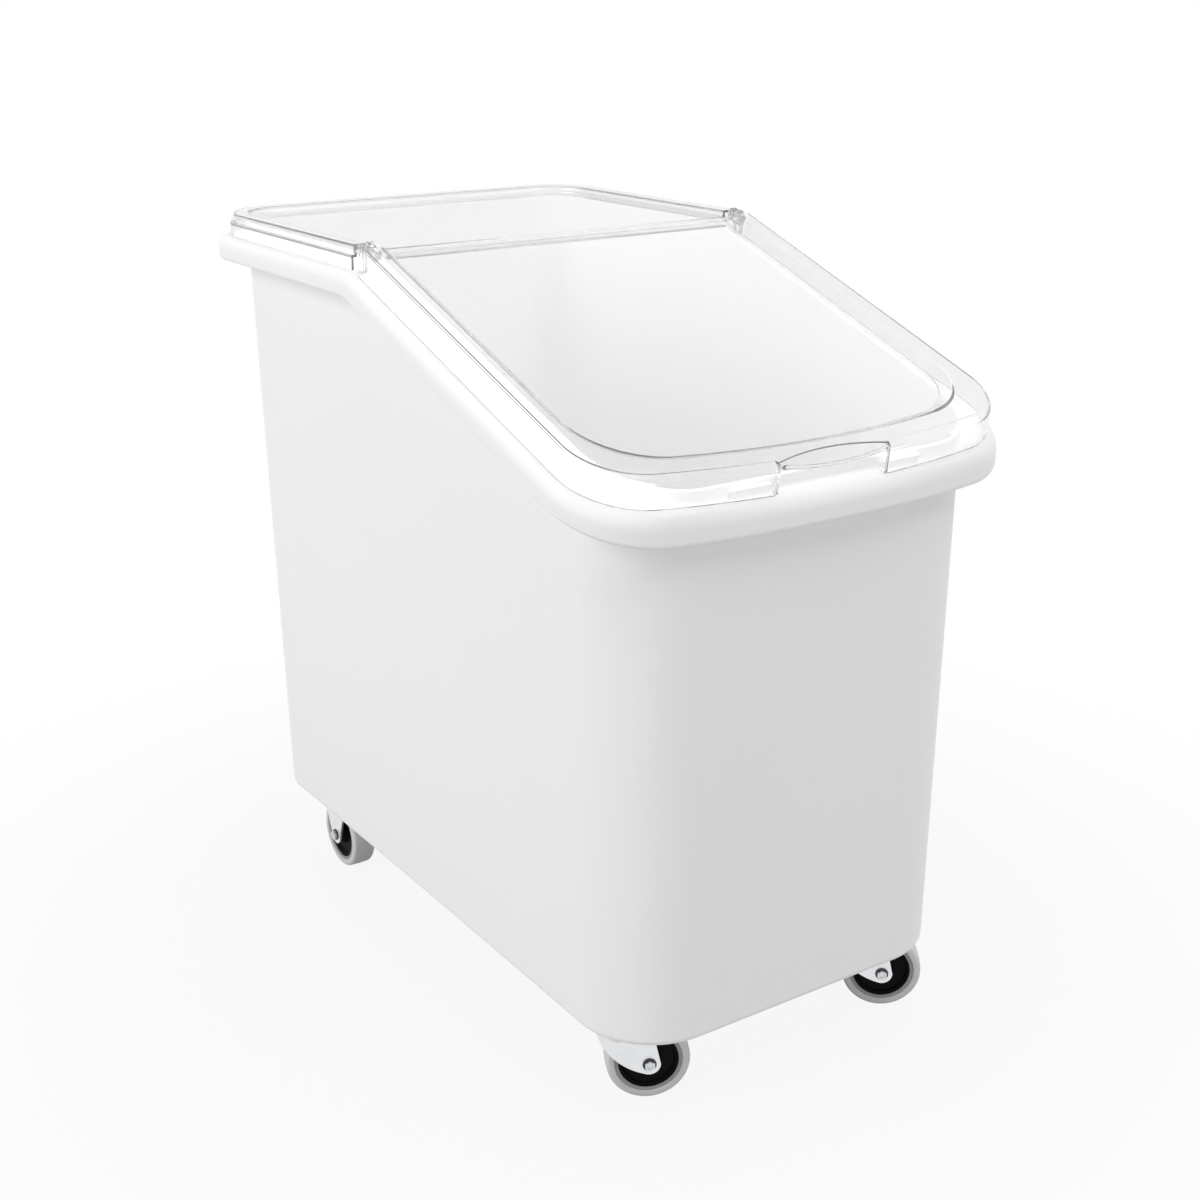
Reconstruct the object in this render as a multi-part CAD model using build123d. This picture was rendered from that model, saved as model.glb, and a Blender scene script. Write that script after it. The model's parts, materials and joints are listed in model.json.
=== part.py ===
from build123d import *
import os
from math import cos, radians, sin, tan

# Rolling ingredient bin: a white polyethylene bin with a slanted front, a clear lid in two hinged
# halves and four plate casters. Millimetres, +Z up, the front faces -Y, and the origin lies on the
# floor under the middle of the rim.

# Bin rim, seen in plan and from the side
rim_width = 440.0
rim_length = 727.0
rim_height = 693.0
rim_depth = 23.0
rim_round = 8.0
rim_bow = 20.0
rim_front_radius = 72.0
rim_rear_radius = 57.0
slope_angle = 19.0
crease_y = 40.0
bend_radius = 60.0

# Bin walls and base
base_height = 91.0
side_setback = 39.0
front_setback = 24.5
rear_setback = 24.0
draft_angle = 0.6
wall = 4.0
wall_front_radius = 71.0
wall_rear_radius = 32.0
floor_thickness = 6.0
base_round = 14.0
neck_height = 10.0

# Lid sheet, and its seat on the rim
sheet = 3.0
lid_inset = 9.0
lid_rear_radius = 60.0

# Rear lid
rear_step_height = 13.0
rear_step_inset = 3.8
rear_crest_height = 22.0
rear_border = 16.0
rear_recess = 5.5
crest_round = 2.5
ledge_drop = 6.5
ledge_inset = 10.0
ledge_reach = 8.0

# Front lid, heights square to the slope
front_crest_height = 26.0
side_lean = 2.3
front_lean = 4.8
side_border = 18.8
front_border = 25.0
recess_run = 9.0
front_recess = 7.0
panel_radius = 62.0
panel_bow = 20.0
notch_width = 112.0
notch_shoulder = 22.0
grip_height = 13.0

# Lid stops, two blocks on the rim beside the finger notch
stop_length = 40.0
stop_width = 5.0
stop_height = 7.0
stop_gap = 4.2

# Lid hinge
hinge_height = 19.0
hinge_setback = 10.0
hinge_pin_radius = 3.5
hinge_clearance = 0.08
cradle_radius = 7.5
cradle_width = 7.0
lug_radius = 6.0
lug_width = 6.0
lug_gap = 0.6
lid_gap = 9.0

# Casters, common
pad_depth = 2.0
caster_side_inset = 44.5
front_caster_inset = 87.0
rear_caster_inset = 66.5
plate_length = 92.0
plate_width = 64.0
plate_thickness = 2.5
plate_radius = 8.0
hole_spacing_long = 75.0
hole_spacing_short = 45.0
pad_margin = 4.0
steel = 2.5
leg_end_radius = 10.0
leg_bend = 2.0

# Swivel head of the front casters
front_left_turn = -26.5
front_right_turn = -37.5
trail = 28.0
crown_radius = 23.0
crown_thickness = 3.0
crown_room = 5.0
leg_front = 28.0
leg_rear = -20.0
leg_belly_x = -2.0
leg_belly_rise = 6.5
leg_toe_angle = 25.0
ball_radius = 2.5
ball_count = 8
ball_circle = 17.0
ball_clearance = 0.05
race_gap = 3.5
king_radius = 4.0
king_clearance = 0.05
king_nut_flats = 13.0
king_nut_height = 5.0
king_nut_gap = 0.3

# Rigid fork of the rear casters
rigid_leg_top = 56.0

# Wheel, axle and screws
tyre_depth = 10.5
tread_width = 25.0
shoulder_round = 6.5
tyre_lip_step = 3.0
tyre_lip_depth = 1.2
core_rim_width = 2.5
core_face = 10.0
core_web = 7.5
hub_radius = 10.5
hub_width = 27.0
sleeve_radius = 5.5
running_clearance = 0.05
side_gap = 1.5
axle_radius = 3.0
axle_clearance = 0.1
axle_flats = 10.0
axle_head = 4.0
axle_nut_height = 5.0
axle_stub = 2.0
screw_radius = 3.0
screw_clearance = 0.3
screw_flats = 10.0
screw_head = 4.0
screw_length = 5.5
insert_radius = 4.75
insert_height = 7.0

# Places worked out from the sizes above
rim_front = -rim_length / 2
rim_rear = rim_length / 2
base_half = rim_width / 2 - side_setback
base_front = rim_front + front_setback
base_rear = rim_rear - rear_setback
caster_x = base_half - caster_side_inset
front_caster_y = base_front + front_caster_inset
rear_caster_y = base_rear - rear_caster_inset
lid_half = rim_width / 2 - lid_inset
slope = radians(slope_angle)
slope_plane = Plane((0, crease_y, rim_height), x_dir=(1, 0, 0), z_dir=(0, -sin(slope), cos(slope)))
lid_front = (rim_front + lid_inset - crease_y) / cos(slope)
hinge_y = crease_y - hinge_setback
hinge_z = rim_height + hinge_height
hinge_v = -hinge_setback * cos(slope) + hinge_height * sin(slope)
hinge_w = hinge_setback * sin(slope) + hinge_height * cos(slope)
front_lid_rear = hinge_v - lid_gap
panel_inset = rear_step_inset + rear_border
cradle_outer = lid_half - rear_step_inset
cradle_inner = cradle_outer - cradle_width
lug_outer = cradle_inner - lug_gap
lug_inner = lug_outer - lug_width
caster_height = base_height - pad_depth
plate_under = caster_height - plate_thickness
crown_top = plate_under - race_gap
crown_under = crown_top - crown_thickness
wheel_radius = (crown_under - crown_room) / 2
core_rim_radius = wheel_radius - tyre_depth
leg_belly_z = wheel_radius + leg_belly_rise
ball_height = plate_under - race_gap / 2
leg_inside = hub_width / 2 + side_gap
leg_outside = leg_inside + steel
hole_places = [
    (x * hole_spacing_short / 2, y * hole_spacing_long / 2) for x in (-1, 1) for y in (-1, 1)
]


def plan_outline(half_width, front, rear, front_radius, rear_radius, bow):
    """Rectangle in plan with rounded corners, whose front edge bows out at its middle."""
    corner = front + bow
    left = (-half_width, corner)
    right = (half_width, corner)
    sides = Polyline(right, (half_width, rear), (-half_width, rear), left)
    front_edge = ThreePointArc(left, (0, front), right) if bow else Line(left, right)
    face = make_face(sides.edges() + front_edge.edges())
    if front_radius:
        face = fillet(face.vertices().sort_by(Axis.Y)[:2], front_radius)
    if rear_radius:
        face = fillet(face.vertices().sort_by(Axis.Y)[-2:], rear_radius)
    return face


def below_rim_line(shift):
    """All that lies under the rim's top line in side view, moved square to it by shift."""
    level = rim_height + shift
    crease = crease_y - shift * tan(slope / 2)
    foot = level - (crease + rim_length) * tan(slope)
    corners = [(rim_length, level), (crease, level), (-rim_length, foot)]
    top = FilletPolyline(*corners, radius=bend_radius + shift)
    sides = Polyline(top @ 1, (-rim_length, -rim_length), (rim_length, -rim_length), top @ 0)
    return extrude(Plane.YZ * make_face(top.edges() + sides.edges()), amount=rim_width, both=True)


def drafted_block(low, high, inset):
    """Block with the bin's plan that widens upwards by the draft, its walls set in by inset."""
    sections = []
    for z in (low, high):
        grow = (z - base_height) * tan(radians(draft_angle)) - inset
        radii = (wall_front_radius - inset, wall_rear_radius - inset)
        outline = plan_outline(base_half + grow, base_front - grow, base_rear + grow, *radii, 0)
        sections.append(Pos(0, 0, z) * outline)
    return loft(sections, ruled=True)


def round_bottom(block, radius):
    """The block with the edges of its lowest face rounded."""
    return fillet(block.faces().sort_by(Axis.Z)[0].edges(), radius)


def make_rim():
    """Rim slab that follows the slope, its outer edges rounded to a bullnose."""
    outline = plan_outline(rim_width / 2, rim_front, rim_rear, rim_front_radius, rim_rear_radius, rim_bow)
    slab = extrude(outline, amount=rim_height + rim_depth)
    slab = slab & below_rim_line(0) - below_rim_line(-rim_depth)
    across = [e for e in slab.edges().filter_by(Axis.X) if e.center().Y < rim_rear - rim_round]
    upright = slab.edges().filter_by(Axis.Z)
    return fillet([e for e in slab.edges() if e not in across and e not in upright], rim_round)


def make_bin_body():
    """One-piece bin: tapered walls, neck, overhanging rim, base pads and lid stops."""
    block = round_bottom(drafted_block(base_height, rim_height + rim_depth, 0), base_round)
    cavity_floor = base_height + floor_thickness
    cavity = round_bottom(drafted_block(cavity_floor, rim_height + 2 * rim_depth, wall), base_round - wall)
    body = (block & below_rim_line(neck_height)) + make_rim() - cavity
    pad = offset(RectangleRounded(plate_width, plate_length, plate_radius), amount=pad_margin)
    for x, y in caster_places.values():
        body += Pos(x, y, caster_height) * extrude(pad, amount=pad_depth + floor_thickness / 2)
        for hole_x, hole_y in hole_places:
            body -= Pos(x + hole_x, y + hole_y, caster_height) * insert_blank()
    stop = Box(stop_length, stop_width, stop_height, align=(Align.CENTER, Align.MIN, Align.MIN))
    stop_x = (notch_width + stop_length) / 2
    stop_y = lid_front + sheet + stop_gap + rim_bow * (stop_x / lid_half) ** 2
    for side in (-1, 1):
        body += slope_plane * Pos(side * stop_x, stop_y, 0) * stop
    return body


def insert_blank():
    """Space that one threaded insert fills in the base, from its lower end up."""
    return Cylinder(insert_radius, insert_height, align=(Align.CENTER, Align.CENTER, Align.MIN))


def make_threaded_inserts():
    """All threaded inserts of the base, four over each caster."""
    insert = insert_blank() - Cylinder(screw_radius, 2 * insert_height)
    places = [(x + hole_x, y + hole_y) for x, y in caster_places.values() for hole_x, hole_y in hole_places]
    return Compound([Pos(x, y, caster_height) * insert for x, y in places])


def rear_tier(inset, front, low, high):
    """Block of the rear lid's plan, set in from the lid's foot, between two heights over the rim."""
    radius = lid_rear_radius - inset
    outline = plan_outline(lid_half - inset, front, rim_rear - lid_inset - inset, 0, radius, 0)
    return Pos(0, 0, rim_height + low) * extrude(outline, amount=high - low)


def make_rear_lid():
    """Clear lid over the back: stepped skirt, raised border, sunk panel and hinge cradles."""
    start = hinge_y + lid_gap
    panel_top = rear_crest_height - rear_recess
    lower = rear_tier(0, start, 0, rear_step_height)
    upper = rear_tier(rear_step_inset, start, 0, rear_crest_height)
    upper = fillet(upper.faces().sort_by(Axis.Z)[-1].edges().filter_by(Axis.X, reverse=True), crest_round)
    sunk = rear_tier(panel_inset, -rim_length, panel_top, rim_depth)
    hollow = rear_tier(sheet, -rim_length, -sheet, rear_step_height - sheet)
    hollow += rear_tier(rear_step_inset + sheet, -rim_length, -sheet, rear_crest_height - sheet)
    hollow -= rear_tier(panel_inset - sheet, -rim_length, panel_top - sheet, rim_depth)
    lid = lower + upper - sunk - hollow
    ledge_width = 2 * (lid_half - panel_inset - ledge_inset)
    ledge_low = panel_top - sheet - ledge_drop
    joggle = Box(ledge_width, sheet, sheet + ledge_drop, align=(Align.CENTER, Align.MIN, Align.MIN))
    ledge = Box(ledge_width, lid_gap + ledge_reach + sheet, sheet, align=(Align.CENTER, Align.MAX, Align.MIN))
    lid += Pos(0, start, rim_height + ledge_low) * joggle
    lid += Pos(0, start + sheet, rim_height + ledge_low) * ledge
    for side in (-1, 1):
        lid += Pos(side * (cradle_inner + cradle_outer) / 2, hinge_y, hinge_z) * cradle()
    return lid


def cradle():
    """U-shaped hinge cradle, open upwards, with its web back to the rear lid's side wall."""
    top = rear_crest_height - hinge_height
    arm = lid_gap + sheet
    seat = hinge_pin_radius + hinge_clearance
    ring = Rot(0, 90, 0) * Cylinder(cradle_radius, cradle_width)
    web = Box(cradle_width, arm, cradle_radius + top, align=(Align.CENTER, Align.MIN, Align.MIN))
    body = ring + Pos(0, 0, -cradle_radius) * web
    upwards = (Align.CENTER, Align.CENTER, Align.MIN)
    body -= Pos(0, 0, top) * Box(cradle_width, 3 * cradle_radius, cradle_radius, align=upwards)
    slot = Box(cradle_width, 2 * seat, cradle_radius, align=upwards)
    return body - Rot(0, 90, 0) * Cylinder(seat, cradle_width) - slot


def front_block(inset, low, high, rear):
    """Block of the front lid's plan that leans in as it rises, set in from the lid's outside."""
    sections = []
    for w in (low, high):
        side = inset + side_lean * w / front_crest_height
        front = inset + front_lean * w / front_crest_height
        radius = rim_front_radius - lid_inset - (side + front) / 2
        outline = plan_outline(lid_half - side, lid_front + front, rear, radius, 0, rim_bow / cos(slope))
        sections.append(Pos(0, 0, w) * outline)
    return loft(sections, ruled=True)


def panel_block(grow, drop):
    """Block that sinks the front lid's panel: it widens upwards to the border's inner edge."""
    low = front_crest_height - front_recess - drop
    high = low + front_recess
    sections = []
    for w, run in ((low, 0), (high, recess_run), (high + rim_depth, recess_run)):
        half = lid_half - side_lean - side_border - recess_run + run + grow
        front = lid_front + front_lean + front_border + recess_run - run - grow
        outline = plan_outline(half, front, rim_length, panel_radius + run + grow, 0, panel_bow)
        sections.append(Pos(0, 0, w) * outline)
    return loft(sections, ruled=True)


def notch_outline():
    """Finger notch in the front skirt: straight sides, and a grip lip that hangs lowest at its middle."""
    half = notch_width / 2
    left = (-half, notch_shoulder)
    right = (half, notch_shoulder)
    sides = Polyline(right, (half, -sheet), (-half, -sheet), left)
    lip = ThreePointArc(left, (0, front_crest_height - grip_height), right)
    return make_face(sides.edges() + lip.edges())


def make_front_lid():
    """Clear lid over the slope: skirt, raised border, sunk panel, finger notch, hinge lugs and pins."""
    shell = front_block(0, 0, front_crest_height, front_lid_rear)
    shell = fillet(shell.faces().sort_by(Axis.Z)[-1].edges().filter_by(Axis.X, reverse=True), crest_round)
    hollow = front_block(sheet, -sheet, front_crest_height - sheet, rim_length)
    lid = shell - (hollow - panel_block(sheet, sheet)) - panel_block(0, 0)
    lid -= Pos(0, lid_front + front_border, 0) * extrude(Plane.XZ * notch_outline(), amount=rim_length)
    for side in (-1, 1):
        lug = Rot(0, 90, 0) * Cylinder(lug_radius, lug_width)
        arm_top = front_crest_height - hinge_w - sheet / 2
        arm = Box(lug_width, 2 * lid_gap, lug_radius + arm_top, align=(Align.CENTER, Align.MAX, Align.MIN))
        lug += Pos(0, 0, -lug_radius) * arm
        lid += Pos(side * (lug_inner + lug_outer) / 2, hinge_v, hinge_w) * lug
        pin = Rot(0, 90, 0) * Cylinder(hinge_pin_radius, cradle_outer - lug_inner)
        lid += Pos(side * (lug_inner + cradle_outer) / 2, hinge_v, hinge_w) * pin
    return slope_plane * lid


def hexagon_prism(flats, height):
    """Hexagon head or nut standing on the XY plane."""
    return extrude(RegularPolygon(flats / 2, 6, major_radius=False), amount=height)


def plate_screws():
    """Four hexagon screws that come up through a caster plate into the base."""
    head = Pos(0, 0, plate_under - screw_head) * hexagon_prism(screw_flats, screw_head)
    shank_align = (Align.CENTER, Align.CENTER, Align.MIN)
    shank = Pos(0, 0, plate_under) * Cylinder(screw_radius, plate_thickness + screw_length, align=shank_align)
    return Compound([Pos(x, y, 0) * (head + shank) for x, y in hole_places])


def caster_plate():
    """Flat plate with rounded corners and four screw holes, its top at the caster's full height."""
    plate = extrude(RectangleRounded(plate_width, plate_length, plate_radius), amount=plate_thickness)
    for x, y in hole_places:
        plate -= Pos(x, y, 0) * Cylinder(screw_radius + screw_clearance, 3 * plate_thickness)
    return Pos(0, 0, plate_under) * plate


def race_groove():
    """Ring of round section in which the race balls run."""
    section = Pos(ball_circle, 0) * Circle(ball_radius + ball_clearance)
    return Pos(0, 0, ball_height) * revolve(Plane.XZ * section, Axis.Z)


def make_top_plate():
    """Fixed plate of a swivel caster, grooved for the balls and bored for the king pin."""
    plate = caster_plate() - race_groove()
    return plate - Pos(0, 0, caster_height) * Cylinder(king_radius, 3 * plate_thickness)


def make_race_balls():
    """Ring of balls between the top plate and the fork's crown."""
    ring = PolarLocations(ball_circle, ball_count)
    return Compound([Pos(0, 0, ball_height) * place * Sphere(ball_radius) for place in ring])


def king_pin_end():
    """Lower end of the king pin."""
    return crown_under - king_nut_gap - king_nut_height


def make_king_pin():
    """Pin riveted into the top plate, on which the fork turns."""
    length = caster_height - king_pin_end()
    upwards = (Align.CENTER, Align.CENTER, Align.MIN)
    return Pos(0, 0, king_pin_end()) * Cylinder(king_radius, length, align=upwards)


def make_king_nut():
    """Nut on the king pin's lower end, which carries the fork."""
    nut = hexagon_prism(king_nut_flats, king_nut_height) - Cylinder(king_radius, 3 * king_nut_height)
    return Pos(0, 0, king_pin_end()) * nut


def leg_pair(outline):
    """Two fork legs, one each side of the wheel, from an outline in the wheel's plane."""
    leg = extrude(Plane.XZ * outline, amount=steel)
    return Pos(0, -leg_inside, 0) * leg + Pos(0, leg_outside, 0) * leg


def axle_hole(x):
    """Hole for the axle bolt across both legs."""
    return Pos(x, 0, wheel_radius) * Rot(90, 0, 0) * Cylinder(axle_radius + axle_clearance, 4 * leg_outside)


def make_swivel_fork():
    """Fork of a swivel caster: grooved crown and two legs swept back to the trailing axle."""
    end = leg_end_radius
    toe_angle = radians(leg_toe_angle)
    toe = (trail - end * sin(toe_angle), wheel_radius - end * cos(toe_angle))
    heel = (trail + end, wheel_radius)
    edge = Polyline((leg_rear, crown_under), (leg_rear, crown_top), (leg_front, crown_top), heel)
    bottom = ThreePointArc(heel, (trail, wheel_radius - end), toe)
    belly = ThreePointArc(toe, (leg_belly_x, leg_belly_z), (leg_rear, crown_under))
    legs = leg_pair(make_face(edge.edges() + bottom.edges() + belly.edges()))
    bridge = extrude(Rectangle(leg_front - leg_rear, 2 * leg_outside), amount=crown_thickness)
    fork = legs + Pos((leg_front + leg_rear) / 2, 0, crown_under) * bridge
    fork = fillet(fork.edges().filter_by(Axis.X).group_by(Axis.Z)[-1], leg_bend)
    fork += Pos(0, 0, crown_under) * extrude(Circle(crown_radius), amount=crown_thickness)
    fork -= race_groove()
    fork -= Pos(0, 0, crown_top) * Cylinder(king_radius + king_clearance, 4 * crown_thickness)
    return fork - axle_hole(trail)


def make_rigid_fork():
    """Fork of a rigid caster, pressed in one with its plate: two legs that taper to the axle."""
    half = rigid_leg_top / 2
    end = leg_end_radius
    top = caster_height - plate_thickness / 2
    edge = Polyline((-end, wheel_radius), (-half, top), (half, top), (end, wheel_radius))
    bottom = ThreePointArc((end, wheel_radius), (0, wheel_radius - end), (-end, wheel_radius))
    legs = leg_pair(make_face(edge.edges() + bottom.edges()))
    return Rot(0, 0, 90) * caster_plate() + legs - axle_hole(0)


def across_wheel(shape, y, x):
    """Shape standing on the XY plane, laid along the axle so that it starts at y and grows towards +Y."""
    return Pos(x, y, wheel_radius) * Rot(-90, 0, 0) * shape


def make_axle_bolt(x):
    """Hexagon bolt across both fork legs, its head on the outer side."""
    length = 2 * leg_outside + axle_nut_height + axle_stub
    head = hexagon_prism(axle_flats, axle_head)
    shank = Cylinder(axle_radius, length, align=(Align.CENTER, Align.CENTER, Align.MIN))
    return across_wheel(head, -leg_outside - axle_head, x) + across_wheel(shank, -leg_outside, x)


def make_axle_nut(x):
    """Nut on the axle bolt's inner end."""
    nut = hexagon_prism(axle_flats, axle_nut_height) - Cylinder(axle_radius, 3 * axle_nut_height)
    return across_wheel(nut, leg_outside, x)


def make_axle_sleeve(x):
    """Tube clamped between the legs, on which the wheel turns."""
    align = (Align.CENTER, Align.CENTER, Align.MIN)
    tube = Cylinder(sleeve_radius, 2 * leg_inside, align=align)
    tube -= Cylinder(axle_radius + axle_clearance, 2 * leg_inside, align=align)
    return across_wheel(tube, -leg_inside, x)


def half_ring(points):
    """Section of a ring from points of radius and half width, bore first, mirrored to the other side."""
    mirrored = [(r, -y) for r, y in reversed(points)]
    return make_face(Polyline(*points, *mirrored, close=True).edges())


def spun(section, x):
    """Ring round the axle from its section."""
    return Pos(x, 0, wheel_radius) * revolve(section, Axis.Y)


def make_wheel_core(x):
    """Hub, web and rim of the wheel in one moulding."""
    bore = sleeve_radius + running_clearance
    lip = core_rim_radius - core_rim_width
    return spun(half_ring([
        (bore, hub_width / 2), (hub_radius, hub_width / 2), (hub_radius + side_gap, core_web),
        (lip - side_gap, core_web), (lip, core_face), (core_rim_radius, core_face),
    ]), x)


def make_tyre(x):
    """Soft tread round the core, with a stepped lip at each side and a rounded shoulder."""
    half = tread_width / 2
    lip = half - tyre_lip_depth
    lip_radius = core_rim_radius + tyre_lip_step
    section = half_ring([(core_rim_radius, lip), (lip_radius, lip), (lip_radius, half), (wheel_radius, half)])
    return spun(fillet(section.vertices().sort_by(Axis.X)[-2:], shoulder_round), x)


def wheel_set(x):
    """Pieces that every caster has round its axle, at distance x behind the caster's centre."""
    return {
        "axle_bolt": make_axle_bolt(x),
        "axle_nut": make_axle_nut(x),
        "axle_sleeve": make_axle_sleeve(x),
        "wheel_core": make_wheel_core(x),
        "tyre": make_tyre(x),
    }


caster_places = {
    "front_left": (-caster_x, front_caster_y),
    "front_right": (caster_x, front_caster_y),
    "rear_left": (-caster_x, rear_caster_y),
    "rear_right": (caster_x, rear_caster_y),
}
front_turns = {"front_left": front_left_turn, "front_right": front_right_turn}
rear_turns = {"rear_left": -90.0, "rear_right": 90.0}

nodes = {
    "bin_body": make_bin_body(),
    "threaded_inserts": make_threaded_inserts(),
    "rear_lid": make_rear_lid(),
    "front_lid": make_front_lid(),
}
fixed_front = {
    "top_plate": make_top_plate(),
    "plate_screws": plate_screws(),
    "king_pin": make_king_pin(),
    "king_nut": make_king_nut(),
    "race_balls": make_race_balls(),
}
turning_front = {"swivel_fork": make_swivel_fork(), **wheel_set(trail)}
rigid_rear = {"rigid_fork": make_rigid_fork(), **wheel_set(0)}
for corner, turn in front_turns.items():
    place = Pos(*caster_places[corner], 0)
    turned = place * Rot(0, 0, turn)
    nodes.update({f"{corner}_{name}": place * shape for name, shape in fixed_front.items()})
    nodes.update({f"{corner}_{name}": turned * shape for name, shape in turning_front.items()})
for corner, turn in rear_turns.items():
    place = Pos(*caster_places[corner], 0)
    turned = place * Rot(0, 0, turn)
    nodes[f"{corner}_plate_screws"] = place * plate_screws()
    nodes.update({f"{corner}_{name}": turned * shape for name, shape in rigid_rear.items()})

os.makedirs("parts", exist_ok=True)
for name, shape in nodes.items():
    export_step(shape, f"parts/{name}.step")
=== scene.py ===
import json
from math import cos, pi, radians, sin, tan

import bmesh
import bpy
import numpy as np
from mathutils import Matrix


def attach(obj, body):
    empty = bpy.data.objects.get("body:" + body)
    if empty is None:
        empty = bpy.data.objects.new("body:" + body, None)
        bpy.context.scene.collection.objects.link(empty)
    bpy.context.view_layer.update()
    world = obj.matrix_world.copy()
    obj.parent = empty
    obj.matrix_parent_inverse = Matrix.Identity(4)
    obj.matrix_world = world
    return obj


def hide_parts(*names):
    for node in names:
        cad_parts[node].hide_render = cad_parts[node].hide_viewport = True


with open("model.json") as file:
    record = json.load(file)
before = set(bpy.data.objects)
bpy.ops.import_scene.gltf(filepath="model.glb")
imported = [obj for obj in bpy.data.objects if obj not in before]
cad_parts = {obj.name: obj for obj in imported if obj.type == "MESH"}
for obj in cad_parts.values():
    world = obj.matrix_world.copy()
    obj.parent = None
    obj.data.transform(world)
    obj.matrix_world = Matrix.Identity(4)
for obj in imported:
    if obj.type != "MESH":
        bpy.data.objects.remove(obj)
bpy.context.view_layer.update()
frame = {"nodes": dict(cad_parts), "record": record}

# Rolling ingredient bin. Lengths are millimetres in the same frame as the solids, and become metres
# when a piece is made. The floor, lamps and camera are in metres.
MM = 0.001

# Bin
RIM_HALF, RIM_FRONT, RIM_REAR = 220.0, -363.5, 363.5
RIM_HEIGHT, RIM_DEPTH, RIM_BOW = 693.0, 23.0, 20.0
RIM_FRONT_RADIUS, RIM_REAR_RADIUS = 72.0, 57.0
RIM_TOP_ROUND, RIM_EDGE_ROUND = 13.0, 4.0
SLOPE = radians(19.0)
CREASE, BEND_RADIUS = 40.0, 60.0
BASE_HEIGHT, BASE_HALF, BASE_FRONT, BASE_REAR = 91.0, 181.0, -339.0, 339.5
DRAFT = tan(radians(0.6))
WALL, FLOOR = 4.0, 6.0
WALL_FRONT_RADIUS, WALL_REAR_RADIUS = 71.0, 32.0
BASE_ROUND, FLOOR_ROUND = 7.0, 10.0
NECK, NECK_TOP_ROUND, NECK_FOOT_ROUND = 10.0, 1.5, 3.0

# Lids and their hinge, with the hinge also given up along the slope from the crease and square to it
SHEET = 2.2
LID_INSET = 9.0
LID_HALF, LID_REAR = RIM_HALF - LID_INSET, RIM_REAR - LID_INSET
LID_FRONT = (RIM_FRONT + LID_INSET - CREASE) / cos(SLOPE)
LID_REAR_RADIUS, LID_FRONT_RADIUS = 60.0, 63.0
LID_BOW = RIM_BOW / cos(SLOPE)
HINGE_Y, HINGE_Z = 30.0, 712.0
HINGE_V = (HINGE_Y - CREASE) * cos(SLOPE) + (HINGE_Z - RIM_HEIGHT) * sin(SLOPE)
HINGE_W = (HINGE_Z - RIM_HEIGHT) * cos(SLOPE) - (HINGE_Y - CREASE) * sin(SLOPE)
HINGE_GAP = 9.0
REAR_LID_START = HINGE_Y + HINGE_GAP
FRONT_LID_END = HINGE_V - HINGE_GAP
NOTCH_HALF = 56.0

# Casters, with the turn of each wheel's plane from the right in degrees. A front wheel stands off its
# swivel's axis that way by its trail.
CASTER_X, FRONT_CASTER_Y, REAR_CASTER_Y = 136.5, -252.0, 273.0
CASTER_PLACES = {
    "front_left": (-CASTER_X, FRONT_CASTER_Y), "front_right": (CASTER_X, FRONT_CASTER_Y),
    "rear_left": (-CASTER_X, REAR_CASTER_Y), "rear_right": (CASTER_X, REAR_CASTER_Y),
}
WHEEL_TURNS = {"front_left": -26.5, "front_right": -37.5, "rear_left": -90.0, "rear_right": 90.0}
TRAIL, WHEEL_RADIUS = 28.0, 37.5

# Samples along an outline, as shares of its front edge, its corner arc and its side, and the samples
# of the side that pass the crease
FRONT = np.linspace(0, 1, 16)
ARC = np.linspace(0, 1, 17)[1:]
SIDE = np.linspace(0, 1, 9)[1:]
BEND_BEFORE, BEND_AFTER, BEND_MARGIN = 13.0, 14.0, 2.0
BEND = np.linspace(CREASE - BEND_BEFORE, CREASE + BEND_AFTER, 17)
RUN = len(FRONT) + len(ARC) + len(SIDE)
PLAN = 2 * RUN + len(BEND)


# Shapes

def end_run(half, front, radius, bow, end, share=FRONT):
    """Half of a rounded end in plan, from the middle of the end round to the side's far point. The end
    lies on a circle that bows out by bow over the half width, a fillet arc turns from that circle into
    the side, and the side runs straight to end. Sizes may hold one value per sample."""
    a, b = len(share), len(share) + len(ARC)
    count = b + len(SIDE)
    half, front, radius = (np.broadcast_to(np.asarray(v, float), count) for v in (half, front, radius))
    reach = half - radius
    x, y = np.array(half), np.array(front)
    if bow:
        big = (half ** 2 + bow ** 2) / (2 * bow)
        drop = np.sqrt((big - radius) ** 2 - reach ** 2)
        turn = np.arctan2(reach, drop)
        centre = front + big - drop
        lean = turn[:a] * share
        x[:a] = big[:a] * np.sin(lean)
        y[:a] = front[:a] + big[:a] * (1 - np.cos(lean))
    else:
        turn = np.zeros(count)
        centre = front + radius
        x[:a] = reach[:a] * share
    angle = turn[a:b] + (pi / 2 - turn[a:b]) * ARC
    x[a:b] = reach[a:b] + radius[a:b] * np.sin(angle)
    y[a:b] = centre[a:b] - radius[a:b] * np.cos(angle)
    y[b:] = centre[b:] + (end - centre[b:]) * SIDE
    return x, y


def plan_line(half, front, rear, front_radius, rear_radius, bow):
    """Right half of the bin's plan from the middle of the front to the middle of the rear: a rounded
    front end, the stretch of side that passes the crease, and a rounded rear end."""
    half, front, rear = (np.broadcast_to(np.asarray(v, float), PLAN) for v in (half, front, rear))
    a, b = RUN, RUN + len(BEND)
    front_x, front_y = end_run(half[:a], front[:a], front_radius, bow, BEND[0] - BEND_MARGIN)
    rear_x, rear_y = end_run(half[b:][::-1], -rear[b:][::-1], rear_radius, 0, -BEND[-1] - BEND_MARGIN)
    x = np.concatenate([front_x, half[a:b], rear_x[::-1]])
    y = np.concatenate([front_y, BEND, -rear_y[::-1]])
    return x, y


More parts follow.
